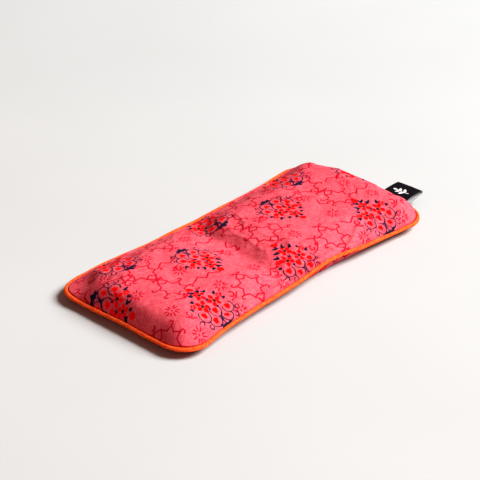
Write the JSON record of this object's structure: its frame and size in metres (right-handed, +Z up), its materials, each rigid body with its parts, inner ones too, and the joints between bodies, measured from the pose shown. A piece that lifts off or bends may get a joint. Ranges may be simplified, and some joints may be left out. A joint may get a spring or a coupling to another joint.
{
  "type": "eye pillow",
  "caption": "Soft rectangular eye pillow with a printed cover, corded edge, folded end label and a loose seed filling that bends at its middle.",
  "frame": {"origin": "centre of the resting face, on the table plane", "axes": "+X along the long side towards the label end, +Z up from the table"},
  "size_m": [0.2335, 0.1044, 0.018],
  "materials": {
    "printed_cotton": "plain-weave quilting cotton, printed red flowers and navy leaves on coral pink, matte",
    "piping_cloth": "orange bias-cut cotton, matte",
    "white_cord": "twisted cotton cord",
    "black_tape": "black woven tape with a small white sprig, slight sheen",
    "red_thread": "polyester sewing thread",
    "white_thread": "cotton sewing thread",
    "muslin": "unbleached muslin",
    "flaxseed": "glossy brown seed, loose",
    "lavender": "dried grey-violet buds, matte"
  },
  "bodies": {
    "plain_end": {"top_panel": "printed_cotton", "bottom_panel_long": "printed_cotton", "bottom_panel_short": "printed_cotton", "hem_thread": "red_thread", "piping_cover": "piping_cloth", "piping_cord": "white_cord", "cover_seam_thread": "red_thread", "inner_pouch_top": "muslin", "inner_pouch_bottom": "muslin", "pouch_seam_thread": "white_thread", "flaxseed_fill_plain_end": "flaxseed", "lavender_buds_plain_end": "lavender"},
    "label_end": {"flaxseed_fill_label_end": "flaxseed", "lavender_buds_label_end": "lavender"},
    "label": {"woven_label": "black_tape"}
  },
  "joints": [
    {"name": "mid_fold", "type": "hinge", "parent": "plain_end", "child": "label_end", "pos_m": [-0.01, 0, 0.007], "axis": [0, -1, 0], "range_deg": [0, 120], "deforming": ["top_panel", "bottom_panel_long", "bottom_panel_short", "hem_thread", "piping_cover", "piping_cord", "cover_seam_thread", "inner_pouch_top", "inner_pouch_bottom", "pouch_seam_thread"]},
    {"name": "label_flap", "type": "hinge", "parent": "label_end", "child": "label", "pos_m": [0.1045, -0.0225, 0.0072], "axis": [0, -1, 0], "range_deg": [-18, 110], "stiffness_Nm_per_rad": 0.0004, "deforming": ["woven_label"]}
  ]
}
